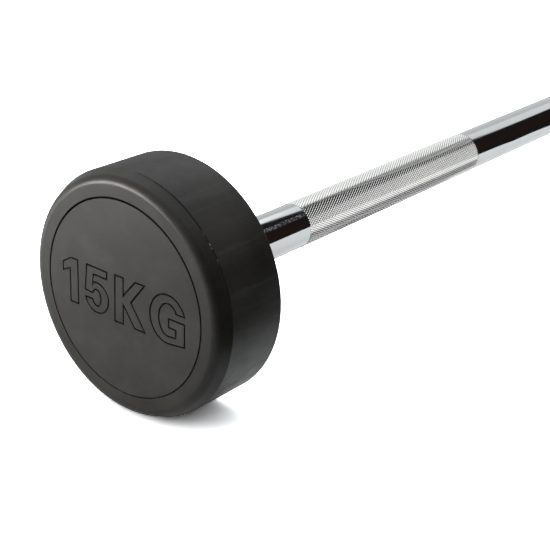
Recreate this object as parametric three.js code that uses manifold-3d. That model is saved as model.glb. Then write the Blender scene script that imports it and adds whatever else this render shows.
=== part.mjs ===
// Fixed barbell: a solid chromed steel bar with two knurled grips and a round rubber-cased iron head on each end.
// Millimetres. +Z is up and the bar lies along X. The origin is on the ground, under the middle of the bar.
// Each head is keyed and screwed to a spigot on the bar, and a rubber cap closes the screw's pocket.
import * as THREE from "three";
import { mergeVertices } from "three/addons/utils/BufferGeometryUtils.js";
import Module from "manifold-3d";

const wasm = await Module();
wasm.setup();

// The whole barbell
const overallLength = 1100;
const seatGap = 0.3;

// The bar: from each head inwards, a plain stretch and a raised knurled band, with a smooth middle between the bands
const barDiameter = 30;
const plainEndLength = 106;
const knurlLength = 214;
const knurlHeight = 0.2;
const knurlChamfer = 0.8;
const shoulderStep = 3;
const spigotChamfer = 1;
const spigotShort = 0.6;
const barEndInHead = 6;

// The outside of a head, from its outer face inwards
const headDiameter = 150;
const headThickness = 51;
const taperDepth = 9;
const taperInset = 4.4;
const faceEdgeRadius = 2;
const innerEdgeRadius = 1.5;
const boreLipRadius = 0.8;

// The rubber around the core
const sideWall = 5;
const backWall = 4;
const frontSkin = 2;
const capRimWidth = 15;
const capRecessDepth = 5;
const rubberKeyRadius = 4.7;

// The cap
const capEdgeGap = 0.4;
const capEdgeChamfer = 0.4;
const capPlugLength = 3.5;
const capPlugWall = 7;

// The core
const coreChamfer = 3;
const coreMouthChamfer = 1;

// The retaining screw, a low-head socket screw
const screwRadius = 6;
const screwLength = 40;
const screwHeadRadius = 9;
const screwHeadHeight = 7;
const screwHeadChamfer = 0.8;
const screwTipChamfer = 1.2;
const screwSink = 1;
const socketAcrossFlats = 8;
const socketDepth = 4.5;
const threadRunout = 6;

// The washers under its head
const washerRadius = 22;
const washerThickness = 5;
const washerChamfer = 0.6;
const washerPlay = 1;
const lockWasherWidth = 4;
const lockWasherThickness = 2.5;
const lockWasherSplit = 1.6;

// The dowel pins, driven half into the spigot and half into the core
const dowelRadius = 3;
const dowelLength = 16;
const dowelChamfer = 0.5;

// How far a cutting shape runs past what it cuts
const overrun = 5;

// Facets and copies
const headFacets = 56;
const barFacets = 48;
const smallFacets = 24;
const keyFacets = 14;
const arcSteps = 3;
const rubberKeyCount = 6;
const dowelCount = 3;
const hexSides = 6;
const lockWasherSlant = THREE.MathUtils.degToRad(25);
const drillPointAngle = THREE.MathUtils.degToRad(59);
const quarterTurn = Math.PI / 2;

// Sizes that follow from those above. A depth is measured inwards from a head's outer face.
// The axis is as high as the middle of a head's lowest facet is far from it, so the heads stand at zero.
const barRadius = barDiameter / 2;
const headRadius = headDiameter / 2;
const axisHeight = headRadius * Math.cos(Math.PI / headFacets);
const endStation = overallLength / 2;
const coreRadius = headRadius - sideWall;
const coreFrontDepth = capRecessDepth + frontSkin;
const coreBackDepth = headThickness - backWall;
const capRecessRadius = headRadius - capRimWidth;
const pocketRadius = washerRadius + washerPlay;
const screwTopDepth = coreFrontDepth + screwSink;
const lockWasherDepth = screwTopDepth + screwHeadHeight + seatGap;
const washerDepth = lockWasherDepth + lockWasherThickness + seatGap;
const pocketFloorDepth = washerDepth + washerThickness + seatGap;
const shoulderDepth = coreBackDepth - barEndInHead;
const spigotRadius = barRadius - shoulderStep;
const spigotEndDepth = pocketFloorDepth + spigotShort;
const screwTipDepth = screwTopDepth + screwHeadHeight + screwLength;
const tappedHoleRadius = screwRadius + seatGap;
const rubberKeyCircle = (pocketRadius + coreRadius) / 2;
const dowelCircle = spigotRadius + seatGap / 2;
const screwClearRadius = screwRadius + seatGap;

const materials = {
  chrome: { color: 0xc9ced2, metalness: 1, roughness: 0.08 },
  rubber: { color: 0x2b2a29, metalness: 0, roughness: 0.62 },
  iron: { color: 0x4a4b4d, metalness: 0.7, roughness: 0.7 },
  zincSteel: { color: 0x9ea3a8, metalness: 1, roughness: 0.35 },
};
for (const name of Object.keys(materials)) {
  materials[name] = new THREE.MeshStandardMaterial(materials[name]);
}

// Turns the points [radius, depth] about Y, with depth running down from the head's outer face.
// Half a facet's turn puts a flat at the bottom, so that the head stands on it.
function turned(points, facets) {
  const outline = points.map(([radius, depth]) => new THREE.Vector2(radius, -depth));
  return new THREE.LatheGeometry(outline, facets, Math.PI / facets);
}

// A closed ring turned from a profile that doesn't meet the axis.
function turnedRing(points, facets) {
  return turned([...points, points[0]], facets);
}

// A plain round cutter or post along Y, between two depths.
function post(radius, fromDepth, toDepth, facets) {
  return turned([[0, toDepth], [radius, toDepth], [radius, fromDepth], [0, fromDepth]], facets);
}

// A quarter-like arc as points [radius, depth], from one angle to another about a centre.
// Angle 0 points away from the axis and a quarter turn points out of the head's face.
function arc(centreRadius, centreDepth, size, fromAngle, toAngle) {
  return Array.from({ length: arcSteps + 1 }, (_, step) => {
    const angle = fromAngle + ((toAngle - fromAngle) * step) / arcSteps;
    return [centreRadius + size * Math.cos(angle), centreDepth - size * Math.sin(angle)];
  });
}

function toSolid(geometry) {
  const bare = new THREE.BufferGeometry();
  bare.setAttribute("position", geometry.getAttribute("position"));
  bare.setIndex(geometry.getIndex());
  const merged = mergeVertices(bare);
  const vertProperties = merged.getAttribute("position").array;
  const triVerts = new Uint32Array(merged.getIndex().array);
  return new wasm.Manifold(new wasm.Mesh({ numProp: 3, vertProperties, triVerts }));
}

function toGeometry(solid) {
  const mesh = solid.getMesh();
  const geometry = new THREE.BufferGeometry();
  geometry.setAttribute("position", new THREE.BufferAttribute(mesh.vertProperties, mesh.numProp));
  geometry.setIndex(new THREE.BufferAttribute(mesh.triVerts, 1));
  const flat = geometry.toNonIndexed();
  flat.computeVertexNormals();
  return flat;
}

// Places a copy of a geometry round the head's axis, once for each angle.
function aroundAxis(geometry, circle, count) {
  return Array.from({ length: count }, (_, copy) => {
    const angle = quarterTurn + (2 * Math.PI * copy) / count;
    const placed = geometry.clone();
    return placed.translate(circle * Math.sin(angle), 0, circle * Math.cos(angle));
  });
}

// A hole for a dowel pin, half in the spigot and half in the core.
function dowelHoles() {
  const hole = post(
    dowelRadius + seatGap,
    pocketFloorDepth - overrun,
    pocketFloorDepth + dowelLength + 2 * seatGap,
    keyFacets,
  );
  return aroundAxis(hole, dowelCircle, dowelCount).map(toSolid);
}

// One end of the bar, as points [radius, depth], from its smooth middle out to the spigot.
function barEndProfile() {
  const knurlOuter = headThickness + plainEndLength;
  const knurlInner = knurlOuter + knurlLength;
  const knurlRadius = barRadius + knurlHeight;
  return [
    [barRadius, knurlInner],
    [knurlRadius, knurlInner - knurlChamfer],
    [knurlRadius, knurlOuter + knurlChamfer],
    [barRadius, knurlOuter],
    [barRadius, shoulderDepth],
    [spigotRadius, shoulderDepth],
    [spigotRadius, spigotEndDepth + spigotChamfer],
    [spigotRadius - spigotChamfer, spigotEndDepth],
    [0, spigotEndDepth],
  ];
}

// What is cut from one end of the bar: the tapped hole with its drill point, and half of each dowel hole.
function barEndCutters() {
  const holeEnd = screwTipDepth + threadRunout;
  const hole = turned(
    [
      [0, holeEnd + tappedHoleRadius / Math.tan(drillPointAngle)],
      [tappedHoleRadius, holeEnd],
      [tappedHoleRadius, spigotEndDepth - overrun],
      [0, spigotEndDepth - overrun],
    ],
    smallFacets,
  );
  return [toSolid(hole), ...dowelHoles()];
}

function barGeometry() {
  const nearEnd = barEndProfile();
  const farEnd = nearEnd.map(([radius, depth]) => [radius, overallLength - depth]).reverse();
  let bar = toSolid(turned([...farEnd, ...nearEnd], barFacets));
  const halfTurn = new THREE.Matrix4()
    .makeTranslation(0, -overallLength, 0)
    .multiply(new THREE.Matrix4().makeRotationZ(Math.PI));
  for (const cutter of barEndCutters()) {
    bar = bar.subtract(cutter).subtract(cutter.transform(halfTurn.elements));
  }
  return toGeometry(bar);
}

// The casing's outer skin, from the lip round the bar, over the back and the side, to the edge of the cap's recess.
function casingOutside() {
  const taperRun = Math.atan2(taperInset, taperDepth);
  const taperTurn = quarterTurn - taperRun;
  const edgeReach = faceEdgeRadius * Math.tan(taperTurn / 2);
  const edgeCentreRadius = headRadius - taperInset - edgeReach;
  const boreRadius = barRadius + seatGap;
  const innerCentreDepth = headThickness - innerEdgeRadius;
  const lipCentreDepth = headThickness - boreLipRadius;
  return [
    ...arc(boreRadius + boreLipRadius, lipCentreDepth, boreLipRadius, 2 * quarterTurn, 3 * quarterTurn),
    ...arc(headRadius - innerEdgeRadius, innerCentreDepth, innerEdgeRadius, -quarterTurn, 0),
    [headRadius, taperDepth],
    ...arc(edgeCentreRadius, faceEdgeRadius, faceEdgeRadius, taperRun, quarterTurn),
    [capRecessRadius, 0],
  ];
}

// The casing's inside: the cap's seat, the mouth of the screw pocket, and the walls that hold the core.
function casingInside() {
  const cavityRadius = coreRadius + seatGap;
  const boreRadius = barRadius + seatGap;
  return [
    [capRecessRadius, capRecessDepth],
    [pocketRadius, capRecessDepth],
    [pocketRadius, coreFrontDepth],
    [cavityRadius - coreChamfer, coreFrontDepth],
    [cavityRadius, coreFrontDepth + coreChamfer],
    [cavityRadius, coreBackDepth - coreChamfer],
    [cavityRadius - coreChamfer, coreBackDepth],
    [boreRadius, coreBackDepth],
  ];
}

// The rubber flows through holes in the core as it is moulded, and these posts tie its front to its back.
function casingGeometry() {
  let casing = toSolid(turnedRing([...casingOutside(), ...casingInside()], headFacets));
  const skinMiddle = capRecessDepth + frontSkin / 2;
  const wallMiddle = coreBackDepth + backWall / 2;
  const key = post(rubberKeyRadius, skinMiddle, wallMiddle, keyFacets);
  for (const placed of aroundAxis(key, rubberKeyCircle, rubberKeyCount)) {
    casing = casing.add(toSolid(placed));
  }
  return toGeometry(casing);
}

function coreGeometry() {
  const front = coreFrontDepth + seatGap;
  const back = coreBackDepth - seatGap;
  const spigotBore = spigotRadius + seatGap;
  const barBore = barRadius + seatGap;
  const profile = [
    [barBore, back],
    [coreRadius - coreChamfer, back],
    [coreRadius, back - coreChamfer],
    [coreRadius, front + coreChamfer],
    [coreRadius - coreChamfer, front],
    [pocketRadius + coreMouthChamfer, front],
    [pocketRadius, front + coreMouthChamfer],
    [pocketRadius, pocketFloorDepth],
    [spigotBore, pocketFloorDepth],
    [spigotBore, shoulderDepth - seatGap],
    [barBore, shoulderDepth - seatGap],
  ];
  let core = toSolid(turnedRing(profile, headFacets));
  const keyHole = post(rubberKeyRadius + seatGap, front - overrun, back + overrun, keyFacets);
  const cutters = aroundAxis(keyHole, rubberKeyCircle, rubberKeyCount).map(toSolid);
  for (const cutter of [...cutters, ...dowelHoles()]) {
    core = core.subtract(cutter);
  }
  return toGeometry(core);
}

// The cap is a disc with a ring underneath that plugs into the pocket's mouth, round the screw's head.
function capGeometry() {
  const capRadius = capRecessRadius - capEdgeGap;
  const underside = capRecessDepth - seatGap;
  const plugRadius = pocketRadius - seatGap;
  const plugInner = plugRadius - capPlugWall;
  const plugEnd = underside + capPlugLength;
  const profile = [
    [0, underside],
    [plugInner, underside],
    [plugInner, plugEnd],
    [plugRadius, plugEnd],
    [plugRadius, underside],
    [capRadius, underside],
    [capRadius, capEdgeChamfer],
    [capRadius - capEdgeChamfer, 0],
    [0, 0],
  ];
  return turned(profile, headFacets);
}

function screwGeometry() {
  const headEnd = screwTopDepth + screwHeadHeight;
  const body = turned(
    [
      [0, screwTipDepth],
      [screwRadius - screwTipChamfer, screwTipDepth],
      [screwRadius, screwTipDepth - screwTipChamfer],
      [screwRadius, headEnd],
      [screwHeadRadius, headEnd],
      [screwHeadRadius, screwTopDepth + screwHeadChamfer],
      [screwHeadRadius - screwHeadChamfer, screwTopDepth],
      [0, screwTopDepth],
    ],
    smallFacets,
  );
  const socketRadius = socketAcrossFlats / 2 / Math.cos(Math.PI / hexSides);
  const socket = post(socketRadius, screwTopDepth - overrun, screwTopDepth + socketDepth, hexSides);
  return toGeometry(toSolid(body).subtract(toSolid(socket)));
}

function retainingWasherGeometry() {
  const top = washerDepth;
  const bottom = washerDepth + washerThickness;
  return turnedRing(
    [
      [screwClearRadius, bottom],
      [washerRadius - washerChamfer, bottom],
      [washerRadius, bottom - washerChamfer],
      [washerRadius, top + washerChamfer],
      [washerRadius - washerChamfer, top],
      [screwClearRadius, top],
    ],
    smallFacets,
  );
}

// A split ring with a slanting cut, pulled flat by the screw.
function lockWasherGeometry() {
  const outer = screwClearRadius + lockWasherWidth;
  const bottom = lockWasherDepth + lockWasherThickness;
  const ring = turnedRing(
    [
      [screwClearRadius, bottom],
      [outer, bottom],
      [outer, lockWasherDepth],
      [screwClearRadius, lockWasherDepth],
    ],
    smallFacets,
  );
  const split = new THREE.BoxGeometry(
    lockWasherSplit,
    lockWasherThickness + 2 * overrun,
    lockWasherWidth + 2 * overrun,
  );
  split.rotateZ(lockWasherSlant);
  split.translate(0, -(lockWasherDepth + bottom) / 2, screwClearRadius + lockWasherWidth / 2 + overrun / 2);
  return toGeometry(toSolid(ring).subtract(toSolid(split)));
}

function dowelGeometry() {
  const start = pocketFloorDepth + seatGap;
  const end = start + dowelLength;
  return turned(
    [
      [0, end],
      [dowelRadius - dowelChamfer, end],
      [dowelRadius, end - dowelChamfer],
      [dowelRadius, start + dowelChamfer],
      [dowelRadius - dowelChamfer, start],
      [0, start],
    ],
    keyFacets,
  );
}

function piece(name, geometry, material) {
  const mesh = new THREE.Mesh(geometry, material);
  mesh.name = name;
  return mesh;
}

// One head, with +Y out of its outer face.
function head(side) {
  const group = new THREE.Group();
  group.add(
    piece(`${side}_rubber_casing`, casingGeometry(), materials.rubber),
    piece(`${side}_iron_core`, coreGeometry(), materials.iron),
    piece(`${side}_end_cap`, capGeometry(), materials.rubber),
    piece(`${side}_retaining_screw`, screwGeometry(), materials.zincSteel),
    piece(`${side}_lock_washer`, lockWasherGeometry(), materials.zincSteel),
    piece(`${side}_retaining_washer`, retainingWasherGeometry(), materials.zincSteel),
  );
  aroundAxis(dowelGeometry(), dowelCircle, dowelCount).forEach((geometry, copy) => {
    group.add(piece(`${side}_dowel_pin_${copy + 1}`, geometry, materials.zincSteel));
  });
  return group;
}

const barbell = new THREE.Group();

const bar = piece("bar", barGeometry(), materials.chrome);
bar.rotation.z = -quarterTurn;
bar.position.set(endStation, 0, axisHeight);
barbell.add(bar);

const leftHead = head("left");
leftHead.rotation.z = quarterTurn;
leftHead.position.set(-endStation, 0, axisHeight);

const rightHead = head("right");
rightHead.rotation.z = -quarterTurn;
rightHead.position.set(endStation, 0, axisHeight);

barbell.add(leftHead, rightHead);

export default barbell;
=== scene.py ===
import math

import bpy
from mathutils import Matrix, Vector


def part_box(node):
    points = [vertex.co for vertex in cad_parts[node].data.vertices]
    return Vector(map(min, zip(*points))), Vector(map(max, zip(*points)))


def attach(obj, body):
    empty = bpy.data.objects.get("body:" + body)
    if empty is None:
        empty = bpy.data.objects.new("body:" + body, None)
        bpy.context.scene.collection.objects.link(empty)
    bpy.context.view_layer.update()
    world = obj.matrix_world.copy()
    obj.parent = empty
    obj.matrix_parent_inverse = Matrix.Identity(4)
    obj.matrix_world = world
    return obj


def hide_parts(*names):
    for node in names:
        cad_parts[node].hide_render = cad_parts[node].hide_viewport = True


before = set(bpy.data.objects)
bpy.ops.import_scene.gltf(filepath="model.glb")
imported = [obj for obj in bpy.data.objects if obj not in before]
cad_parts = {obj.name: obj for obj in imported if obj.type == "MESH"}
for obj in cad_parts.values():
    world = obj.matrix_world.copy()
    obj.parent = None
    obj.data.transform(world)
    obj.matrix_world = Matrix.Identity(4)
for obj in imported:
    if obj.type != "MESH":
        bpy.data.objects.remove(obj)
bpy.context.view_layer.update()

MM = 0.001
QUARTER_TURN = math.pi / 2
HALF_TURN = math.pi
FULL_TURN = 2 * math.pi

MERGE_DISTANCE = 0.001 * MM
# A point this close to a ring or plane counts as on it.
NEAR_SLACK = 0.02 * MM
# Edges that bend by less than this many degrees are shaded smooth.
SMOOTH_BELOW = 30
SPIGOT_SMOOTH_BELOW = 20
KNURL_SMOOTH_BELOW = 10

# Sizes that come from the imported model
casing_low, casing_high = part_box("left_rubber_casing")
bar_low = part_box("bar")[0]
OUTER_FACE = casing_low.x
AXIS_HEIGHT = (casing_low.z + casing_high.z) / 2
HEAD_RADIUS = (casing_high.z - casing_low.z) / 2
HEAD_THICKNESS = casing_high.x - casing_low.x
SPIGOT_END_DEPTH = bar_low.x - OUTER_FACE
HALF_LENGTH = -OUTER_FACE

# The bar
BAR_RADIUS = 15 * MM
SHOULDER_DEPTH = 41 * MM
SPIGOT_RADIUS = 12 * MM
SPIGOT_CHAMFER = 1 * MM
SPIGOT_PIECE_END = 75 * MM
TAPPED_RADIUS = 6.3 * MM
TAPPED_CHAMFER = 0.5 * MM
TAPPED_END = 61 * MM
DRILL_POINT = 3.8 * MM
DOWEL_COUNT = 3
DOWEL_HOLE_RADIUS = 3.3 * MM
DOWEL_CIRCLE = 12.15 * MM
DOWEL_HOLE_FROM = 18.4 * MM
DOWEL_HOLE_TO = 40 * MM
POST_FACETS = 32

# The knurl: its points stand on a grid of rows along the bar and columns round it.
KNURL_STARTS = 56
KNURL_ROWS = 134
KNURL_FROM = 157 * MM
KNURL_TO = 371 * MM
KNURL_VALLEY = 14.9 * MM
KNURL_CREST = 15.2 * MM
KNURL_PEAK = 15.52 * MM
BAR_FACETS = 2 * KNURL_STARTS

# The casing
HEAD_FACETS = 256
TAPER_DEPTH = 9 * MM
TAPER_INSET = 4.15 * MM
SHOULDER_BEVEL = 3.85 * MM
TAPER_EDGE_BEVEL = 0.35 * MM
INNER_EDGE_BEVEL = 0.6 * MM
BORE_RADIUS = 15.3 * MM
BORE_LIP_BEVEL = 0.8 * MM
RECESS_RADIUS = 60.2 * MM
RECESS_DEPTH = 5 * MM
RECESS_EDGE_BEVEL = 0.12 * MM
POCKET_RADIUS = 23 * MM
CAVITY_FROM = 7 * MM
CAVITY_TO = 47 * MM
CAVITY_RADIUS = 70.3 * MM
CAVITY_CHAMFER = 3 * MM
TIE_COUNT = 6
TIE_RADIUS = 4.7 * MM
TIE_CIRCLE = 46.5 * MM
TIE_FROM = 6 * MM
TIE_TO = 49 * MM

# The cap
CAP_RADIUS = 59.2 * MM
CAP_UNDERSIDE = 4.7 * MM
CAP_EDGE_BEVEL = 0.12 * MM
# It lies a little low in its recess, so that the gap round it shows evenly.
CAP_DROP = 0.25 * MM
PLUG_RADIUS = 22.7 * MM
PLUG_INNER = 15.7 * MM
PLUG_END = 8.2 * MM

# The weight mark: thin grooves round block letters
MARK_TURN = math.radians(2.8)
MARK_WIDTH_SHARE = 0.982
MARK_ARC_STEP = math.radians(9)
GROOVE_WIDTH = 1.05 * MM
GROOVE_DEPTH = 1.6 * MM
GROOVE_OVERRUN = 0.4 * MM


# ---- Making the pieces


def select_only(*objects):
    """Leaves only these objects selected, the first of them active."""
    bpy.ops.object.select_all(action="DESELECT")
    for chosen in objects:
        chosen.select_set(True)
    bpy.context.view_layer.objects.active = objects[0]


def start_edit():
    bpy.ops.object.mode_set(mode="EDIT")


def end_edit():
    bpy.ops.object.mode_set(mode="OBJECT")


def join(*pieces):
    """Joins the pieces into the first."""
    select_only(*pieces)
    bpy.ops.object.join()
    return pieces[0]


def settle():
    """Moves the selected piece's place and turn into its mesh."""
    bpy.ops.object.transform_apply(location=True, rotation=True, scale=True)


def named(name):
    """Names the primitive just added, and moves its place and turn into its mesh."""
    piece = bpy.context.object
    piece.name = name
    piece.data.name = name
    settle()
    return piece


def at_depth(depth):
    """The point of the bar's axis at this depth in the left head's end."""
    return Vector((OUTER_FACE + depth, 0, AXIS_HEIGHT))


def from_axis(point):
    return math.hypot(point.y, point.z - AXIS_HEIGHT)


def scale_round_axis(share, depth):
    """Brings the selection nearer to the bar's axis, or further from it."""
    bpy.ops.transform.resize(value=(1, share, share), center_override=at_depth(depth))


def start_ring(name, depth, radius, facets, filled=False):
    """A circle round the bar's axis, open or filled, in edit mode."""
    bpy.ops.object.select_all(action="DESELECT")
    bpy.ops.mesh.primitive_circle_add(
        vertices=facets,
        radius=radius,
        fill_type="NGON" if filled else "NOTHING",
        location=at_depth(depth),
        rotation=(0, QUARTER_TURN, 0),
    )
    piece = named(name)
    start_edit()
    bpy.ops.mesh.select_mode(type="EDGE")
    bpy.ops.mesh.select_all(action="SELECT")
    return piece


def walk_ring(stations):
    """Extrudes the selected ring from its first station through the others.

    A station is a depth and a radius.
    """
    for (depth, radius), (next_depth, next_radius) in zip(stations, stations[1:]):
        step = (next_depth - depth, 0, 0)
        bpy.ops.mesh.extrude_region_move(TRANSFORM_OT_translate={"value": step})
        if next_radius != radius:
            scale_round_axis(next_radius / radius, next_depth)


def select_places(piece, kind, wanted):
    """In edit mode, selects the vertices, edges or faces that lie where the test says.

    An edge counts by both its ends, and a face by its middle.
    """
    bpy.ops.mesh.select_all(action="DESELECT")
    bpy.ops.mesh.select_mode(type=kind)
    end_edit()
    mesh = piece.data
    if kind == "VERT":
        for vertex in mesh.vertices:
            vertex.select = wanted(vertex.co)
    elif kind == "EDGE":
        for edge in mesh.edges:
            edge.select = all(wanted(mesh.vertices[index].co) for index in edge.vertices)
    else:
        for face in mesh.polygons:
            face.select = wanted(face.center)
    start_edit()


def near(value, target):
    return abs(value - target) < NEAR_SLACK


def on_ring(depth, radius):
    """A test for points of the ring at this depth and radius."""
    return lambda point: near(point.x, OUTER_FACE + depth) and near(from_axis(point), radius)


def round_ring(piece, depth, radius, width, segments):
    """Rounds the ring edge at this depth and radius."""
    select_places(piece, "EDGE", on_ring(depth, radius))
    bpy.ops.mesh.bevel(
        offset=width, offset_type="OFFSET", segments=segments, profile=0.5, affect="EDGES"
    )


def merge_doubles():
    """In edit mode, merges points that lie on each other."""
    bpy.ops.mesh.select_all(action="SELECT")
    bpy.ops.mesh.remove_doubles(threshold=MERGE_DISTANCE)


def face_outwards():
    """Turns the faces outwards and leaves edit mode."""
    bpy.ops.mesh.select_all(action="SELECT")
    bpy.ops.mesh.normals_make_consistent(inside=False)
    end_edit()


def finish_mesh(piece, smooth_below=SMOOTH_BELOW):
    """Merges doubles, turns the faces outwards and shades the soft edges smooth."""
    merge_doubles()
    face_outwards()
    select_only(piece)
    bpy.ops.object.shade_smooth_by_angle(angle=math.radians(smooth_below))


def apply_modifier(piece, kind, **settings):
    select_only(piece)
    modifier = piece.modifiers.new(kind.lower(), kind)
    for key, value in settings.items():
        setattr(modifier, key, value)
    bpy.ops.object.modifier_apply(modifier=modifier.name)


def carve(piece, cutter, operation="DIFFERENCE"):
    """Cuts the cutter from the piece, or adds it, and removes the cutter."""
    apply_modifier(piece, "BOOLEAN", operation=operation, object=cutter, solver="EXACT")
    bpy.data.objects.remove(cutter)


def steady_normals(piece):
    """Keeps broad faces flat-looking beside narrow rounded edges."""
    apply_modifier(piece, "WEIGHTED_NORMAL", mode="FACE_AREA", weight=100, keep_sharp=True)


def posts_round_axis(name, radius, circle, count, from_depth, to_depth):
    """Round posts along the bar, spaced evenly about its axis, as one mesh.

    The first stands at +Y.
    """
    posts = []
    for copy in range(count):
        angle = FULL_TURN * copy / count
        outwards = Vector((0, math.cos(angle), -math.sin(angle)))
        bpy.ops.object.select_all(action="DESELECT")
        bpy.ops.mesh.primitive_cylinder_add(
            vertices=POST_FACETS,
            radius=radius,
            depth=to_depth - from_depth,
            location=at_depth((from_depth + to_depth) / 2) + circle * outwards,
            rotation=(0, QUARTER_TURN, 0),
        )
        posts.append(named(f"{name}_{copy}"))
    return join(*posts)


def far_twin(piece, name):
    """A copy of a left-hand piece, with its own mesh, turned round to the other end of the bar."""
    select_only(piece)
    bpy.ops.object.duplicate()
    twin = bpy.context.object
    twin.name = name
    twin.data.name = name
    bpy.ops.transform.rotate(value=HALF_TURN, orient_axis="Z", center_override=(0, 0, 0))
    settle()
    return twin


def spigot_end():
    """The bar's end in the head: shoulder, spigot, tapped hole and its half of the dowel holes."""
    piece = start_ring("chromed_bar", SPIGOT_PIECE_END, BAR_RADIUS, BAR_FACETS, filled=True)
    walk_ring(
        [
            (SPIGOT_PIECE_END, BAR_RADIUS),
            (SHOULDER_DEPTH, BAR_RADIUS),
            (SHOULDER_DEPTH, SPIGOT_RADIUS),
            (SPIGOT_END_DEPTH + SPIGOT_CHAMFER, SPIGOT_RADIUS),
            (SPIGOT_END_DEPTH, SPIGOT_RADIUS - SPIGOT_CHAMFER),
            (SPIGOT_END_DEPTH, TAPPED_RADIUS + TAPPED_CHAMFER),
            (SPIGOT_END_DEPTH + TAPPED_CHAMFER, TAPPED_RADIUS),
            (TAPPED_END, TAPPED_RADIUS),
        ]
    )
    bpy.ops.mesh.extrude_region_move(TRANSFORM_OT_translate={"value": (DRILL_POINT, 0, 0)})
    bpy.ops.mesh.merge(type="CENTER")
    face_outwards()
    holes = posts_round_axis(
        "dowel_hole", DOWEL_HOLE_RADIUS, DOWEL_CIRCLE, DOWEL_COUNT, DOWEL_HOLE_FROM, DOWEL_HOLE_TO
    )
    carve(piece, holes)
    start_edit()
    select_places(piece, "FACE", lambda middle: near(middle.x, OUTER_FACE + SPIGOT_PIECE_END))
    bpy.ops.mesh.delete(type="ONLY_FACE")
    finish_mesh(piece, SPIGOT_SMOOTH_BELOW)
    return piece


def split_lengthwise(piece, parts):
    """Cuts every edge that runs along the bar into equal parts, 101 at most."""
    bpy.ops.mesh.select_all(action="DESELECT")
    bpy.ops.mesh.select_mode(type="EDGE")
    end_edit()
    for edge in piece.data.edges:
        one, other = (piece.data.vertices[index].co for index in edge.vertices)
        edge.select = not near(one.x, other.x)
    start_edit()
    bpy.ops.mesh.subdivide(number_cuts=parts - 1)


def knurled_band():
    """One grip: a tube with every second point of its grid raised into a blunted pyramid."""
    length = KNURL_TO - KNURL_FROM
    middle = (KNURL_FROM + KNURL_TO) / 2
    start, end = OUTER_FACE + KNURL_FROM, OUTER_FACE + KNURL_TO
    row_step = length / KNURL_ROWS
    column_step = FULL_TURN / BAR_FACETS
    bpy.ops.object.select_all(action="DESELECT")
    bpy.ops.mesh.primitive_cylinder_add(
        vertices=BAR_FACETS,
        radius=BAR_RADIUS,
        depth=length,
        end_fill_type="NOTHING",
        location=at_depth(middle),
        rotation=(0, QUARTER_TURN, 0),
    )
    piece = named("knurled_band")
    start_edit()
    split_lengthwise(piece, 2)
    split_lengthwise(piece, KNURL_ROWS // 2)

    def is_peak(point):
        row = round((point.x - start) / row_step)
        column = round(math.atan2(point.z - AXIS_HEIGHT, point.y) / column_step)
        return 0 < row < KNURL_ROWS and (row + column) % 2 == 1

    def is_valley(point):
        return start + row_step / 2 < point.x < end - row_step / 2 and not is_peak(point)

    select_places(piece, "VERT", is_valley)
    scale_round_axis(KNURL_VALLEY / BAR_RADIUS, middle)
    select_places(piece, "VERT", is_peak)
    scale_round_axis(KNURL_PEAK / BAR_RADIUS, middle)
    bpy.ops.mesh.select_all(action="SELECT")
    bpy.ops.mesh.quads_convert_to_tris(quad_method="SHORTEST_DIAGONAL")
    select_places(piece, "VERT", lambda point: from_axis(point) > KNURL_CREST)
    blunted = 100 * (KNURL_PEAK - KNURL_CREST) / (KNURL_PEAK - KNURL_VALLEY)
    bpy.ops.mesh.bevel(offset_type="PERCENT", offset_pct=blunted, segments=1, affect="VERTICES")
    finish_mesh(piece, KNURL_SMOOTH_BELOW)
    return piece


def chromed_bar():
    """The whole bar: one end is made, then copied and turned round for the other."""
    piece = spigot_end()
    start_edit()
    select_places(piece, "EDGE", on_ring(SPIGOT_PIECE_END, BAR_RADIUS))
    walk_ring([(SPIGOT_PIECE_END, BAR_RADIUS), (KNURL_FROM, BAR_RADIUS)])
    end_edit()
    band = knurled_band()
    start_edit()
    select_places(band, "EDGE", on_ring(KNURL_TO, BAR_RADIUS))
    walk_ring([(KNURL_TO, BAR_RADIUS), (HALF_LENGTH, BAR_RADIUS)])
    end_edit()
    join(piece, band)
    join(piece, far_twin(piece, "other_end"))
    start_edit()
    merge_doubles()
    end_edit()
    return piece


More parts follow.
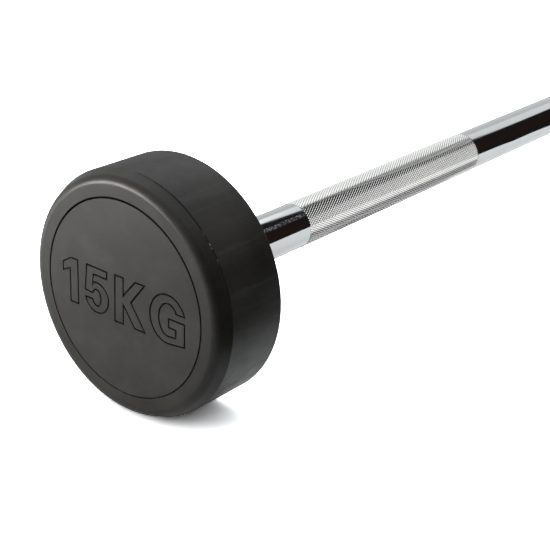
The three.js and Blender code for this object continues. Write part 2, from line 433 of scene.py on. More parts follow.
def rubber_casing():
    """The rubber moulded round the left core, with the cap's recess in front and six ties."""
    profile = [
        (RECESS_DEPTH, RECESS_RADIUS),
        (0, RECESS_RADIUS),
        (0, HEAD_RADIUS - TAPER_INSET),
        (TAPER_DEPTH, HEAD_RADIUS),
        (HEAD_THICKNESS, HEAD_RADIUS),
        (HEAD_THICKNESS, BORE_RADIUS),
        (CAVITY_TO, BORE_RADIUS),
        (CAVITY_TO, CAVITY_RADIUS - CAVITY_CHAMFER),
        (CAVITY_TO - CAVITY_CHAMFER, CAVITY_RADIUS),
        (CAVITY_FROM + CAVITY_CHAMFER, CAVITY_RADIUS),
        (CAVITY_FROM, CAVITY_RADIUS - CAVITY_CHAMFER),
        (CAVITY_FROM, POCKET_RADIUS),
        (RECESS_DEPTH, POCKET_RADIUS),
        (RECESS_DEPTH, RECESS_RADIUS),
    ]
    piece = start_ring("left_head_casing", *profile[0], HEAD_FACETS)
    walk_ring(profile)
    merge_doubles()
    round_ring(piece, 0, RECESS_RADIUS, RECESS_EDGE_BEVEL, segments=2)
    round_ring(piece, 0, HEAD_RADIUS - TAPER_INSET, SHOULDER_BEVEL, segments=12)
    round_ring(piece, TAPER_DEPTH, HEAD_RADIUS, TAPER_EDGE_BEVEL, segments=2)
    round_ring(piece, HEAD_THICKNESS, HEAD_RADIUS, INNER_EDGE_BEVEL, segments=5)
    round_ring(piece, HEAD_THICKNESS, BORE_RADIUS, BORE_LIP_BEVEL, segments=4)
    face_outwards()
    ties = posts_round_axis("tie", TIE_RADIUS, TIE_CIRCLE, TIE_COUNT, TIE_FROM, TIE_TO)
    carve(piece, ties, "UNION")
    start_edit()
    finish_mesh(piece)
    steady_normals(piece)
    return piece


def oval_arc(middle, reach, from_degrees, to_degrees):
    """Points along part of an oval, about its middle, counterclockwise if the angle grows."""
    start, end = math.radians(from_degrees), math.radians(to_degrees)
    steps = max(2, round(abs(end - start) / MARK_ARC_STEP))
    angles = [start + (end - start) * step / steps for step in range(steps + 1)]
    (x, y), (x_reach, y_reach) = middle, reach
    return [(x + x_reach * math.cos(angle), y + y_reach * math.sin(angle)) for angle in angles]


def mark_outlines():
    """The outlines of the weight number and its unit.

    Their points are in millimetres, to the right and up from the cap's middle.
    """
    one = [(-36.5, 13.9), (-36.5, -13.9), (-43.1, -13.9), (-43.1, 7.2)]
    one += [(-49, 4.4), (-49, 9.8), (-42.3, 13.9)]
    five = [(-30.3, -2.5), (-28.9, 13.7), (-12.2, 13.3), (-12.5, 8.8), (-23.5, 9.0), (-24.0, 3.4)]
    five += oval_arc((-20.8, -5.1), (9.6, 9.5), 108, -169)
    five += oval_arc((-21.0, -5.2), (3.5, 5.2), 198, 515)
    k = [(-5.6, 13.9), (1.0, 13.8), (0.9, 2.9), (10.6, 13.9), (17.8, 13.9), (7.0, 0.3)]
    k += [(18.3, -14.9), (10.1, -14.9), (0.9, -2.7), (0.8, -15.0), (-6.0, -15.0)]
    g = oval_arc((35.8, -0.6), (13.7, 14.8), 20, 272)
    g += [(48.8, -13.9), (48.6, 0), (36.7, 0), (36.5, -5.3), (42.1, -5.3), (42.1, -10.3)]
    g += oval_arc((36.4, -0.9), (7.4, 10.0), 285, 40)
    g += [(42.1, 4.4)]
    return [one, five, k, g]


def mark_cutter():
    """Thin walls that stand in the cap's face along the mark's outlines."""
    lines = bpy.data.curves.new("mark_lines", "CURVE")
    lines.dimensions = "3D"
    for outline in mark_outlines():
        line = lines.splines.new("POLY")
        line.points.add(len(outline) - 1)
        line.use_cyclic_u = True
        for point, (right, up) in zip(line.points, outline):
            point.co = (right * MARK_WIDTH_SHARE * MM, up * MM, -GROOVE_DEPTH, 1)
    cutter = bpy.data.objects.new("mark_lines", lines)
    bpy.context.collection.objects.link(cutter)
    select_only(cutter)
    bpy.ops.object.convert(target="MESH")
    start_edit()
    bpy.ops.mesh.select_mode(type="EDGE")
    bpy.ops.mesh.select_all(action="SELECT")
    height = GROOVE_DEPTH + GROOVE_OVERRUN
    bpy.ops.mesh.extrude_region_move(TRANSFORM_OT_translate={"value": (0, 0, height)})
    end_edit()
    cutter = bpy.context.object
    apply_modifier(cutter, "SOLIDIFY", thickness=GROOVE_WIDTH, offset=0, use_even_offset=True)
    # The mark's right, up and outward directions become -Y, +Z and -X.
    stand = Matrix(((0, 0, -1), (-1, 0, 0), (0, 1, 0))).to_4x4()
    turn = Matrix.Rotation(-MARK_TURN, 4, "Z")
    cutter.matrix_world = Matrix.Translation(at_depth(0)) @ stand @ turn
    settle()
    start_edit()
    face_outwards()
    return cutter


def end_cap():
    """The rubber disc in the left head's outer face, with its plug and the weight mark cut in."""
    stations = [
        (CAP_UNDERSIDE, PLUG_INNER),
        (PLUG_END, PLUG_INNER),
        (PLUG_END, PLUG_RADIUS),
        (CAP_UNDERSIDE, PLUG_RADIUS),
        (CAP_UNDERSIDE, CAP_RADIUS),
        (0, CAP_RADIUS),
    ]
    piece = start_ring("left_head_cap", *stations[0], HEAD_FACETS, filled=True)
    walk_ring(stations)
    # The outermost ring, still selected, is closed to make the face.
    bpy.ops.mesh.edge_face_add()
    round_ring(piece, 0, CAP_RADIUS, CAP_EDGE_BEVEL, segments=3)
    face_outwards()
    carve(piece, mark_cutter())
    start_edit()
    finish_mesh(piece)
    steady_normals(piece)
    select_only(piece)
    bpy.ops.transform.translate(value=(0, 0, -CAP_DROP))
    settle()
    return piece


# ---- Materials


class Finish:
    """A material or world built up node by node."""

    def __init__(self, holder):
        holder.use_nodes = True
        self.tree = holder.node_tree
        self.tree.nodes.clear()

    def feed(self, socket, value):
        """Links the socket to another node's output, or sets it to a number or colour."""
        if isinstance(value, bpy.types.NodeSocket):
            self.tree.links.new(value, socket)
        else:
            socket.default_value = value

    def add(self, kind, inputs=None, **settings):
        """A new node with these settings and inputs."""
        made = self.tree.nodes.new(kind)
        for key, value in settings.items():
            setattr(made, key, value)
        for key, value in (inputs or {}).items():
            self.feed(made.inputs[key], value)
        return made

    def sum(self, operation, first, second=0.5, third=0.5):
        """One step of arithmetic on one to three values."""
        values = {0: first, 1: second, 2: third}
        return self.add("ShaderNodeMath", values, operation=operation).outputs[0]

    def total(self, first, *others):
        for other in others:
            first = self.sum("ADD", first, other)
        return first

    def product(self, first, *others):
        for other in others:
            first = self.sum("MULTIPLY", first, other)
        return first

    def plus(self, base, factor, share):
        """The base value with the product of the other two added to it."""
        return self.sum("MULTIPLY_ADD", factor, share, base)

    def rest_of_one(self, share):
        return self.sum("SUBTRACT", 1.0, share)

    def distance(self, value, target):
        return self.sum("ABSOLUTE", self.sum("SUBTRACT", value, target))

    def between(self, value, low, high, to_low=0.0, to_high=1.0):
        """Goes smoothly from to_low to to_high as the value goes from low to high."""
        ends = {"From Min": low, "From Max": high, "To Min": to_low, "To Max": to_high}
        inputs = {"Value": value, **ends}
        made = self.add("ShaderNodeMapRange", inputs, interpolation_type="SMOOTHSTEP")
        return made.outputs["Result"]

    def falling(self, value, low, high):
        """Goes smoothly from 1 down to 0 as the value goes from low to high."""
        return self.between(value, low, high, 1, 0)

    def window(self, value, rise, fall):
        """Rises smoothly from 0 to 1 over the first range, and falls back over the second."""
        return self.product(self.between(value, *rise), self.falling(value, *fall))

    def noise(self, vector, scale, detail=3.0, roughness=0.6):
        inputs = {"Vector": vector, "Scale": scale, "Detail": detail, "Roughness": roughness}
        return self.add("ShaderNodeTexNoise", inputs).outputs["Fac"]

    def spread(self, noise, to_low=0.0, to_high=1.0):
        """Takes a noise's usual range to the range that is given."""
        return self.between(noise, *NOISE_RANGE, to_low, to_high)

    def place(self):
        """Where a point lies, measured from the middle of the bar's axis."""
        raw = self.add("ShaderNodeTexCoord").outputs["Object"]
        move = {"Vector": raw, "Location": (0, 0, -AXIS_HEIGHT)}
        return self.add("ShaderNodeMapping", move).outputs["Vector"]

    def stretched(self, vector, scale):
        return self.add("ShaderNodeMapping", {"Vector": vector, "Scale": scale}).outputs["Vector"]

    def split(self, vector):
        """How far the vector goes along the bar, across it and up."""
        return self.add("ShaderNodeSeparateXYZ", {"Vector": vector}).outputs

    def depth(self, along):
        """How far in from the nearer head's outer face."""
        return self.sum("SUBTRACT", HALF_LENGTH, self.sum("ABSOLUTE", along))

    def radius(self, across, up):
        """How far from the bar's axis."""
        squares = self.total(self.product(across, across), self.product(up, up))
        return self.sum("SQRT", squares)

    def angle(self, across, up):
        """The direction about the bar, in degrees: 0 is straight behind and 90 is overhead."""
        return self.sum("DEGREES", self.sum("ARCTAN2", up, across))

    def blend(self, share, first, second):
        """A mix of two colours."""
        # The node keeps its colours in inputs 6 and 7 and in output 2.
        made = self.add("ShaderNodeMix", data_type="RGBA")
        for index, value in ((0, share), (6, first), (7, second)):
            self.feed(made.inputs[index], value)
        return made.outputs[2]

    def bump(self, height, distance, strength, normal=None):
        inputs = {"Height": height, "Distance": distance, "Strength": strength}
        if normal is not None:
            inputs["Normal"] = normal
        return self.add("ShaderNodeBump", inputs).outputs["Normal"]

    def surface(self, **inputs):
        """The shader that ends a material, with its inputs named by lower-case words."""

        def title(key):
            return key.replace("_", " ").title().replace("Ior", "IOR")

        titled = {title(key): value for key, value in inputs.items()}
        self.show(self.add("ShaderNodeBsdfPrincipled", titled).outputs["BSDF"])

    def show(self, shader, kind="ShaderNodeOutputMaterial"):
        self.add(kind, {"Surface": shader})


def grey(level, red=1.0, blue=1.0):
    """A near-grey colour, with its red and blue as shares of the level."""
    return (level * red, level, level * blue, 1)


# Most of a noise's values lie in this range.
NOISE_RANGE = (0.3, 0.7)

# Rubber
RUBBER_TINT = (1.11, 0.86)
RUBBER_DULL = (0.34, 0.43)
RUBBER_SHEEN = 0.2
GRAIN_RANGE = (0.3, 0.75)
GRAIN_HEIGHT = 0.03 * MM
GRAIN_STRENGTH = 0.6
CASING_CLOUD_RANGE = (0.35, 0.65)
CASING_DARK = grey(0.008, *RUBBER_TINT)
CASING_PALE = grey(0.0195, *RUBBER_TINT)
CASING_GRAIN = grey(0.034, *RUBBER_TINT)
CASING_GRAIN_SHARE = 0.35
CAP_CLOUD_RANGE = (0.34, 0.66)
CAP_DARK = grey(0.0125, *RUBBER_TINT)
CAP_PALE = grey(0.0205, *RUBBER_TINT)
CAP_GRAIN = grey(0.036, *RUBBER_TINT)
CAP_GRAIN_SHARE = 0.3
CAP_SMEAR = grey(0.042, 1.08, 0.9)
CAP_SMEAR_SHARE = 0.4
CAP_SMEAR_RANGE = (0.45, 0.75)
CAP_SMEAR_STRETCH = (1, 0.75, 1)
# Painted shade down in the mark's grooves, and in the gap round the cap
SUNK_SHADE = grey(0.002)
SUNK_DULL = 0.45
MARK_SUNK_DEPTHS = (0.15 * MM, 0.6 * MM)
GAP_SUNK_DEPTHS = (0.1 * MM, 0.5 * MM)
GAP_RADII = (RECESS_RADIUS, RECESS_RADIUS + 0.3 * MM)

# Streaks rubbed along the side wall, which starts just behind the taper
STREAK_STRETCH = (0.06, 1, 1)
STREAK_RANGE = (0.5, 0.72)
STREAK_COLOUR = grey(0.05)
STREAK_SHARE = 0.35
STREAK_DULL = 0.08
SIDE_DEPTHS = (TAPER_DEPTH, TAPER_DEPTH + 1.5 * MM)

# The taper's rim is worn to pale specks at this angle about the bar, with a dark line near them.
RIM_DEPTH = TAPER_DEPTH - 0.3 * MM
WORN_RIM_ANGLE = 144
SPECK_COLOUR = grey(0.2, 1.1, 0.9)
SPECK_RANGE = (0.48, 0.56)
SPECK_ANGLES = (2, 9)
SPECK_DEPTHS = (0.1 * MM, 0.45 * MM)
SPECK_RADII = (HEAD_RADIUS - 1.2 * MM, HEAD_RADIUS - 0.6 * MM)
RIM_LINE_COLOUR = grey(0.004)
RIM_LINE_SHARE = 0.8
RIM_LINE_DULL = 0.4
RIM_LINE_RANGE = (0.42, 0.55)
RIM_LINE_ANGLES = (30, 60)
RIM_LINE_DEPTHS = (0.3 * MM, 0.8 * MM)

# Chrome
CHROME_COOL = (0.446, 0.456, 0.454, 1)
CHROME_WARM = (0.439, 0.443, 0.437, 1)
CHROME_ROUGH = (0.055, 0.085)
KNURL_COLOUR = (0.54, 0.534, 0.518, 1)
KNURL_ROUGH = 0.05
KNURL_EDGES = ((KNURL_FROM - 0.2 * MM, KNURL_FROM), (KNURL_TO, KNURL_TO + 0.2 * MM))
POLISH_STRETCH = (1, 0.04, 0.04)
DUST_RANGE = (0.72, 0.78)
DUST_COLOUR = (0.4, 0.4, 0.4, 1)
DUST_SHARE = 0.3
DUST_ROUGH = 0.15
# Grime and painted shade down in the knurl's grooves
GRIME_SHADE_COLOUR = (0.2, 0.194, 0.185, 1)
GRIME_SHADE_COVER = (0.75, 0.95)
GRIME_SHADE_ROUGH = 0.1
GRIME_SHADE_RADII = (KNURL_VALLEY, KNURL_CREST - 0.1 * MM)

# A dusty streak on the plain chrome beside the left head, at this angle about the bar
FILM_ANGLE = 134.8
FILM_EDGE = (2.6, 6.76)
FILM_START = (OUTER_FACE + HEAD_THICKNESS, OUTER_FACE + 75 * MM)
FILM_END = (OUTER_FACE + KNURL_FROM - 2 * MM, OUTER_FACE + KNURL_FROM)
FILM_COLOUR = (0.52, 0.5, 0.56, 1)
FILM_COVER = 0.45
FLECK_STRETCH = (0.6, 1, 1)
FLECK_RANGE = (0.48, 0.6)
FILM_BETWEEN_FLECKS = 0.15

# Inside the heads
IRON_DARK = (0.1, 0.1, 0.105, 1)
IRON_PALE = (0.21, 0.21, 0.215, 1)
IRON_ROUGH = (0.6, 0.85)
IRON_SHINE = 0.7
RUST_COLOUR = (0.16, 0.08, 0.045, 1)
RUST_RANGE = (0.5, 0.7)
RUST_SHARE = 0.35
ZINC_COOL = (0.52, 0.54, 0.57, 1)
ZINC_WARM = (0.68, 0.69, 0.68, 1)
ZINC_ROUGH = (0.28, 0.45)
TURNED_STRETCH = (1, 0.08, 0.08)


def moulded_rubber():
    """Casing rubber: matt black with smudges, fine grain, faint rubbed streaks, a worn rim and
    painted shade in the gap round the cap.
    """
    material = bpy.data.materials.new("moulded_rubber")
    f = Finish(material)
    place = f.place()
    along, across, up = f.split(place)
    depth = f.depth(along)
    radius = f.radius(across, up)

    clouds = f.noise(place, scale=22.0, detail=4.0, roughness=0.55)
    smudges = f.noise(place, scale=75.0, detail=5.0)
    grain = f.noise(place, scale=1500.0)
    streaks = f.noise(f.stretched(place, STREAK_STRETCH), scale=160.0, detail=4.0)
    rubbed = f.product(f.between(streaks, *STREAK_RANGE), f.between(depth, *SIDE_DEPTHS))

    off_rim = f.distance(depth, RIM_DEPTH)
    off_wear = f.distance(f.angle(across, up), WORN_RIM_ANGLE)
    rim = f.product(f.falling(off_rim, *SPECK_DEPTHS), f.between(radius, *SPECK_RADII))
    chips = f.between(f.noise(place, scale=260.0, detail=2.0), *SPECK_RANGE)
    specks = f.product(rim, chips, f.falling(off_wear, *SPECK_ANGLES))
    patches = f.noise(place, scale=60.0, detail=4.0, roughness=0.7)
    rim_line = f.product(
        f.between(patches, *RIM_LINE_RANGE),
        f.falling(off_rim, *RIM_LINE_DEPTHS),
        f.falling(off_wear, *RIM_LINE_ANGLES),
    )

    # Painted shade: near black down in the gap round the cap
    gap = f.product(f.falling(radius, *GAP_RADII), f.between(depth, *GAP_SUNK_DEPTHS))

    base = f.blend(f.between(clouds, *CASING_CLOUD_RANGE), CASING_DARK, CASING_PALE)
    base = f.blend(f.between(grain, *GRAIN_RANGE, 0, CASING_GRAIN_SHARE), base, CASING_GRAIN)
    base = f.blend(f.product(rubbed, STREAK_SHARE), base, STREAK_COLOUR)
    base = f.blend(f.product(rim_line, RIM_LINE_SHARE), base, RIM_LINE_COLOUR)
    base = f.blend(specks, base, SPECK_COLOUR)
    base = f.blend(gap, base, SUNK_SHADE)

    dull = f.spread(smudges, *RUBBER_DULL)
    dull = f.plus(dull, gap, SUNK_DULL)
    dull = f.plus(dull, rubbed, STREAK_DULL)
    dull = f.plus(dull, rim_line, RIM_LINE_DULL)
    normal = f.bump(grain, GRAIN_HEIGHT, GRAIN_STRENGTH)
    normal = f.bump(smudges, distance=0.12 * MM, strength=0.35, normal=normal)
    f.surface(base_color=base, roughness=dull, normal=normal, specular_ior_level=RUBBER_SHEEN)
    return material


def cap_rubber():
    """Cap rubber: as the casing's, a little paler, with broader wiped smudges, no streaks and
    painted shade down in the mark's grooves.
    """
    material = bpy.data.materials.new("cap_rubber")
    f = Finish(material)
    place = f.place()
    depth = f.depth(f.split(place)[0])
    clouds = f.noise(place, scale=30.0, detail=5.0, roughness=0.55)
    wiped = f.noise(f.stretched(place, CAP_SMEAR_STRETCH), scale=42.0, detail=5.0)
    grain = f.noise(place, scale=1700.0)
    # Painted shade: near black down in the mark's grooves
    sunk = f.between(depth, *MARK_SUNK_DEPTHS)

    base = f.blend(f.between(clouds, *CAP_CLOUD_RANGE), CAP_DARK, CAP_PALE)
    base = f.blend(f.between(grain, *GRAIN_RANGE, 0, CAP_GRAIN_SHARE), base, CAP_GRAIN)
    base = f.blend(f.between(wiped, *CAP_SMEAR_RANGE, 0, CAP_SMEAR_SHARE), base, CAP_SMEAR)
    base = f.blend(sunk, base, SUNK_SHADE)
    dull = f.plus(f.spread(wiped, *RUBBER_DULL), sunk, SUNK_DULL)
    normal = f.bump(grain, GRAIN_HEIGHT, GRAIN_STRENGTH)
    normal = f.bump(clouds, distance=0.15 * MM, strength=0.3, normal=normal)
    f.surface(base_color=base, roughness=dull, normal=normal, specular_ior_level=RUBBER_SHEEN)
    return material


def polished_chrome():
    """Bar chrome: bright plating with faint polishing lines, rare dust and a dusty streak.

    The knurl is a little warmer and rougher, with grime and painted shade down in its grooves.
    """
    material = bpy.data.materials.new("polished_chrome")
    f = Finish(material)
    place = f.place()
    along, across, up = f.split(place)
    depth = f.depth(along)
    radius = f.radius(across, up)

    haze = f.noise(place, scale=60.0, detail=4.0)
    lines = f.noise(f.stretched(place, POLISH_STRETCH), scale=2600.0, roughness=0.7)
    dust = f.between(f.noise(place, scale=900.0, detail=2.0), *DUST_RANGE)
    knurled = f.window(depth, *KNURL_EDGES)
    # Grime and painted shade: darker down in the knurl's grooves
    groove = f.product(knurled, f.falling(radius, *GRIME_SHADE_RADII))
    grime_and_shade = f.product(groove, f.spread(haze, *GRIME_SHADE_COVER))

    off_film = f.distance(f.angle(across, up), FILM_ANGLE)
    film = f.product(f.falling(off_film, *FILM_EDGE), f.window(along, FILM_START, FILM_END))
    flecks = f.noise(f.stretched(place, FLECK_STRETCH), scale=700.0, roughness=0.7)
    film = f.product(film, f.between(flecks, *FLECK_RANGE, FILM_BETWEEN_FLECKS, 1))

    base = f.blend(f.spread(haze), CHROME_COOL, CHROME_WARM)
    base = f.blend(knurled, base, KNURL_COLOUR)
    base = f.blend(f.product(dust, DUST_SHARE), base, DUST_COLOUR)
    base = f.blend(grime_and_shade, base, GRIME_SHADE_COLOUR)
    base = f.blend(film, base, FILM_COLOUR)
    rough = f.spread(haze, *CHROME_ROUGH)
    rough = f.plus(rough, dust, DUST_ROUGH)
    rough = f.plus(rough, grime_and_shade, GRIME_SHADE_ROUGH)
    rough = f.plus(rough, knurled, KNURL_ROUGH)
    shine = f.plus(1.0, film, -FILM_COVER)
    normal = f.bump(lines, distance=0.002 * MM, strength=0.5)
    f.surface(base_color=base, metallic=shine, roughness=rough, normal=normal)
    return material


def cast_iron():
    """Raw sand-cast iron for the cores inside the heads."""
    material = bpy.data.materials.new("cast_iron")
    f = Finish(material)
    place = f.place()
    pits = f.noise(place, scale=700.0, detail=5.0, roughness=0.7)
    rust = f.between(f.noise(place, scale=70.0, detail=4.0), *RUST_RANGE, 0, RUST_SHARE)
    base = f.blend(f.spread(pits), IRON_DARK, IRON_PALE)
    base = f.blend(rust, base, RUST_COLOUR)
    rough = f.spread(pits, *IRON_ROUGH)
    normal = f.bump(pits, distance=0.25 * MM, strength=0.8)
    f.surface(base_color=base, metallic=IRON_SHINE, roughness=rough, normal=normal)
    return material


def zinc_plating():
    """Zinc-plated steel for the screws, washers and dowel pins."""
    material = bpy.data.materials.new("zinc_plating")
    f = Finish(material)
    place = f.place()
    spangle = f.noise(place, scale=220.0, detail=4.0)
    turned = f.noise(f.stretched(place, TURNED_STRETCH), scale=2200.0, detail=2.0)
    base = f.blend(f.spread(spangle), ZINC_COOL, ZINC_WARM)
    rough = f.spread(turned, *ZINC_ROUGH)
    normal = f.bump(turned, distance=0.01 * MM, strength=0.6)
    f.surface(base_color=base, metallic=1.0, roughness=rough, normal=normal)
    return material


# ---- The studio

# The camera, fitted to the rims of the near head and the edges of the bar
CAMERA_PLACE = Vector((-1.0106, -0.4795, 0.3573))
CAMERA_AIM = Vector((0.72354, 0.57895, -0.3759))
CAMERA_LENS = 82.9
CAMERA_CLIP_START = 0.01
SENSOR_WIDTH = 36

# The lamp that draws the soft shadow on the floor
LEFT_SOFTBOX_PLACE = Vector((-1.34, 0.75, 0.35))
LEFT_SOFTBOX_SIZE = 0.45
LEFT_SOFTBOX_WATTS = 4.5

# The floor. Its front right is cut away, which the chrome shows as black.
FLOOR_CORNERS = [
    (-3.5, -0.7),
    (0.5, -0.7),
    (0.107, -0.148),
    (3.5, -0.148),
    (3.5, 3.0),
    (-3.5, 3.0),
]
FLOOR_TONE = (0.78, 0.82)
# How bright it looks to the camera, and in mirrors, where 1 is its light on other things
FLOOR_CAMERA_GAIN = 3.4
FLOOR_MIRROR_GAIN = 1.45
FLOOR_LEFT_GAIN = 1.05
FLOOR_FAR_LEFT_GAIN = 1.4
FLOOR_UNDER_BAR_GAIN = 0.35
FLOOR_STRIP_GAIN = 0.9
FLOOR_BEHIND_GAIN = 0.35
# Soft edges on it, each from one place to another, along the bar or across it
LEFT_EDGE = (-0.6, -0.5)
FAR_LEFT_EDGE = (-0.62, -0.56)
FAR_LEFT_FRONT = (0.12, 0.3)
BEHIND_LEFT = (-0.55, -0.45)
BEHIND_FRONT = (0.015, 0.04)
STRIP_FRONT = (0.1, 0.2)
STRIP_BACK = (0.4, 0.55)
UNDER_RIGHT_EDGE = (0.13, 0.17)
UNDER_RIGHT_BACK = (-0.005, 0.015)
UNDER_GRIP_ALONG = ((-0.305, -0.265), (-0.13, -0.11))
UNDER_GRIP_ACROSS = ((-0.025, -0.01), (0.06, 0.1))
# Painted shade: the floor is black in front of the left head for every ray but the camera's, with a
# slanting right edge
FRONT_SHADE_COVER = 0.94
FRONT_SHADE_SLANT = 0.96
FRONT_SHADE_EDGE = (-0.5, -0.45)
FRONT_SHADE_BACK = (-0.16, -0.1)

# The world. A direction is given by how far it points along the bar, from -1 to 1, and by its angle
# about the bar in degrees, where 0 is straight behind and 90 is overhead.
WORLD_WHITE = (0.87, 0.895, 0.91, 1)
WORLD_BLACK_HIGH = (0.016, 0.015, 0.017, 1)
WORLD_BLACK_LOW = (0.026, 0.016, 0.013, 1)
BLACK_LOW_ANGLES = (120, 165)
BEHIND_FROM = (-95, -85)
# The angle at which the white ends: each step is a stretch along the bar, and the change over it.
BLACK_EDGE_STEPS = [
    ((0, 0.2), (112, 150)),
    ((0.6, 0.72), (0, -80.5)),
    ((0.71, 0.85), (0, 42)),
    ((0.89, 0.95), (0, 40)),
]
BLACK_EDGE_BLUR = (-4, 4)
# The brighter softbox overhead: the angle at which it starts, and its gain. Both change along
# the bar.
SOFTBOX_FROM = ((0.7, 0.87), (43, 69))
SOFTBOX_BLUR = (-6, 6)
SOFTBOX_GAIN_STEPS = [((0.7, 0.8), (1.35, 0.42)), ((0.4, 0.6), (0.4, 0))]
SOFTBOX_LEFT_FADE = ((-0.1, 0.15), (0.4, 1))
# What the left head's side wall mirrors is dimmer, behind and overhead.
SIDE_ALONG = ((0.45, 0.55), (0.68, 0.72))
SIDE_ANGLES = (-25, 5)
SIDE_DIMMING = 0.65
SIDE_SOFTBOX_DIMMING = 0.45
# The lamp low on the left that only shiny surfaces see, which draws the bright line on the shoulder
GLINT_DIRECTION = (-0.735, 0.675, 0.06)
GLINT_GAIN = 54
GLINT_EDGE = (9.5, 13.5)
GLINT_COLOUR = (0.93, 0.89, 0.83, 1)


def floor_mirror_gain(f, along, across):
    """How bright each place of the floor looks in mirrors: painted shade and painted light that
    only mirrors see.
    """
    gain = f.between(along, *LEFT_EDGE, FLOOR_LEFT_GAIN, FLOOR_MIRROR_GAIN)
    far_left = f.product(f.between(across, *FAR_LEFT_FRONT), f.falling(along, *FAR_LEFT_EDGE))
    gain = f.plus(gain, far_left, FLOOR_FAR_LEFT_GAIN)

    # Behind the bar come the shadowed ground, a paler strip and the dim distance.
    behind = f.product(f.between(across, *BEHIND_FRONT), f.between(along, *BEHIND_LEFT))
    near_gain = f.between(across, *STRIP_FRONT, FLOOR_UNDER_BAR_GAIN, FLOOR_STRIP_GAIN)
    far_gain = f.between(across, *STRIP_BACK, FLOOR_STRIP_GAIN, FLOOR_BEHIND_GAIN)
    change = f.sum("SUBTRACT", f.sum("MINIMUM", near_gain, far_gain), FLOOR_MIRROR_GAIN)
    gain = f.plus(gain, behind, change)

    # Painted shadow: mirrors see the ground right under the grip, and under the bar further right,
    # as black.
    under_right = f.product(
        f.between(along, *UNDER_RIGHT_EDGE), f.falling(across, *UNDER_RIGHT_BACK)
    )
    under_grip = f.product(
        f.window(along, *UNDER_GRIP_ALONG), f.window(across, *UNDER_GRIP_ACROSS)
    )
    return f.product(gain, f.rest_of_one(f.sum("MAXIMUM", under_right, under_grip)))


def studio_floor():
    """A pale floor that keeps the soft shadow, and looks plain white to the camera.

    For every other ray, painted shade makes it black in front of the left head, and mirrors see
    some of its places darker or brighter, as painted shade and painted light.
    """
    sheet = bpy.data.meshes.new("studio_floor")
    sheet.from_pydata([(x, y, 0) for x, y in FLOOR_CORNERS], [], [range(len(FLOOR_CORNERS))])
    floor = bpy.data.objects.new("studio_floor", sheet)
    bpy.context.collection.objects.link(floor)
    material = bpy.data.materials.new("pale_floor")
    f = Finish(material)
    raw = f.add("ShaderNodeTexCoord").outputs["Object"]
    along, across, _ = f.split(raw)
    path = f.add("ShaderNodeLightPath").outputs

    # Painted shade: black on the floor in front of the left head, unseen by the camera
    front_shade = f.between(f.plus(along, across, FRONT_SHADE_SLANT), *FRONT_SHADE_EDGE, FRONT_SHADE_COVER, 0)
    front_shade = f.product(front_shade, f.falling(across, *FRONT_SHADE_BACK))
    mirrored = f.sum("MAXIMUM", path["Is Glossy Ray"], path["Is Transmission Ray"])
    mirror_gain = floor_mirror_gain(f, along, across)
    gain = f.plus(1.0, mirrored, f.sum("SUBTRACT", mirror_gain, 1.0))
    gain = f.product(gain, f.rest_of_one(front_shade))
    gain = f.sum("MAXIMUM", gain, f.product(path["Is Camera Ray"], FLOOR_CAMERA_GAIN))
    paper = f.noise(raw, scale=120.0, detail=4.0)
    tone = f.product(f.spread(paper, *FLOOR_TONE), gain)
    colour = f.add("ShaderNodeCombineXYZ", {0: tone, 1: tone, 2: tone}).outputs[0]
    f.show(f.add("ShaderNodeBsdfDiffuse", {"Color": colour}).outputs[0])
    floor.data.materials.append(material)


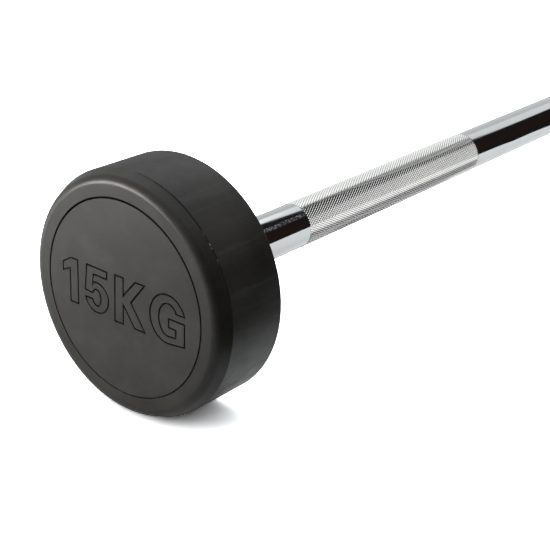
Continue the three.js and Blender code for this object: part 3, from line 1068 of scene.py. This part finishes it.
def studio_world():
    """White behind, a brighter softbox overhead, and black on the camera's side.

    The camera itself sees plain white, and mirrors also see a small bright lamp low on the left.
    """
    world = bpy.data.worlds.new("studio")
    bpy.context.scene.world = world
    f = Finish(world)
    toward = f.add("ShaderNodeTexCoord").outputs["Generated"]
    path = f.add("ShaderNodeLightPath").outputs
    along, across, up = f.split(toward)
    angle = f.angle(across, up)

    steps = (f.between(along, *stretch, *change) for stretch, change in BLACK_EDGE_STEPS)
    lit = f.falling(f.sum("SUBTRACT", angle, f.total(*steps)), *BLACK_EDGE_BLUR)
    side = f.window(along, *SIDE_ALONG)
    dimmed = f.product(side, f.between(angle, *SIDE_ANGLES))
    behind = f.product(f.between(angle, *BEHIND_FROM), f.plus(1.0, dimmed, -SIDE_DIMMING))

    stretch, start = SOFTBOX_FROM
    inwards = f.sum("SUBTRACT", angle, f.between(along, *stretch, *start))
    softbox = f.product(f.between(inwards, *SOFTBOX_BLUR), lit)
    steps = (f.between(along, *stretch, *change) for stretch, change in SOFTBOX_GAIN_STEPS)
    stretch, change = SOFTBOX_LEFT_FADE
    softbox_gain = f.product(f.total(*steps), f.between(along, *stretch, *change))
    softbox_gain = f.product(softbox_gain, f.plus(1.0, side, -SIDE_SOFTBOX_DIMMING))

    level = f.total(f.product(behind, lit), f.product(softbox, softbox_gain))
    dark = f.blend(f.between(angle, *BLACK_LOW_ANGLES), WORLD_BLACK_HIGH, WORLD_BLACK_LOW)
    colour = f.blend(level, dark, WORLD_WHITE)
    strength = f.sum("MAXIMUM", level, 1.0)

    vectors = {0: toward, 1: GLINT_DIRECTION}
    nearness = f.add("ShaderNodeVectorMath", vectors, operation="DOT_PRODUCT").outputs["Value"]
    off_glint = f.sum("DEGREES", f.sum("ARCCOSINE", nearness))
    glint = f.product(f.falling(off_glint, *GLINT_EDGE), path["Is Glossy Ray"])
    strength = f.plus(strength, glint, GLINT_GAIN)
    colour = f.blend(glint, colour, GLINT_COLOUR)

    studio = f.add("ShaderNodeBackground", {"Color": colour, "Strength": strength}).outputs[0]
    white = f.add("ShaderNodeBackground", {"Color": (1, 1, 1, 1), "Strength": 1.0}).outputs[0]
    mixed = f.add("ShaderNodeMixShader", {0: path["Is Camera Ray"], 1: studio, 2: white})
    f.show(mixed.outputs[0], "ShaderNodeOutputWorld")


def left_softbox():
    """The lamp behind the left head. It draws the shadow on the floor and shows in no mirror."""
    bpy.ops.object.light_add(type="AREA", location=LEFT_SOFTBOX_PLACE)
    lamp = bpy.context.object
    lamp.name = "left_softbox"
    lamp.data.shape = "SQUARE"
    lamp.data.size = LEFT_SOFTBOX_SIZE
    lamp.data.energy = LEFT_SOFTBOX_WATTS
    lamp.rotation_euler = (at_depth(0) - LEFT_SOFTBOX_PLACE).to_track_quat("-Z", "Y").to_euler()
    lamp.visible_camera = False
    lamp.visible_glossy = False


def studio_camera():
    turn = CAMERA_AIM.to_track_quat("-Z", "Y").to_euler()
    bpy.ops.object.camera_add(location=CAMERA_PLACE, rotation=turn)
    camera = bpy.context.object
    camera.data.lens = CAMERA_LENS
    camera.data.sensor_width = SENSOR_WIDTH
    camera.data.clip_start = CAMERA_CLIP_START
    bpy.context.scene.camera = camera


# ---- Putting the barbell together

studio_camera()
studio_world()
studio_floor()
left_softbox()

rubber = moulded_rubber()
cap_finish = cap_rubber()
chrome = polished_chrome()
iron = cast_iron()
zinc = zinc_plating()


def coat(piece, material):
    """Gives a piece this material alone."""
    piece.data.materials.clear()
    piece.data.materials.append(material)


def fit(piece, material, slot, *nodes):
    """Gives a finished piece its material, and lets it stand for its CAD node."""
    coat(piece, material)
    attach(piece, "root")
    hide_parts(*nodes)


fit(chromed_bar(), chrome, "bar_chrome", "bar")
left_casing = rubber_casing()
right_casing = far_twin(left_casing, "right_head_casing")
fit(left_casing, rubber, "head_rubber", "left_rubber_casing")
fit(right_casing, rubber, "head_rubber", "right_rubber_casing")
left_cap = end_cap()
right_cap = far_twin(left_cap, "right_head_cap")
fit(left_cap, cap_finish, "cap_rubber", "left_end_cap")
fit(right_cap, cap_finish, "cap_rubber", "right_end_cap")

for name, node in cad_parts.items():
    if not node.hide_render:
        coat(node, iron if "iron_core" in name else zinc)

bpy.context.scene.view_settings.view_transform = "Standard"
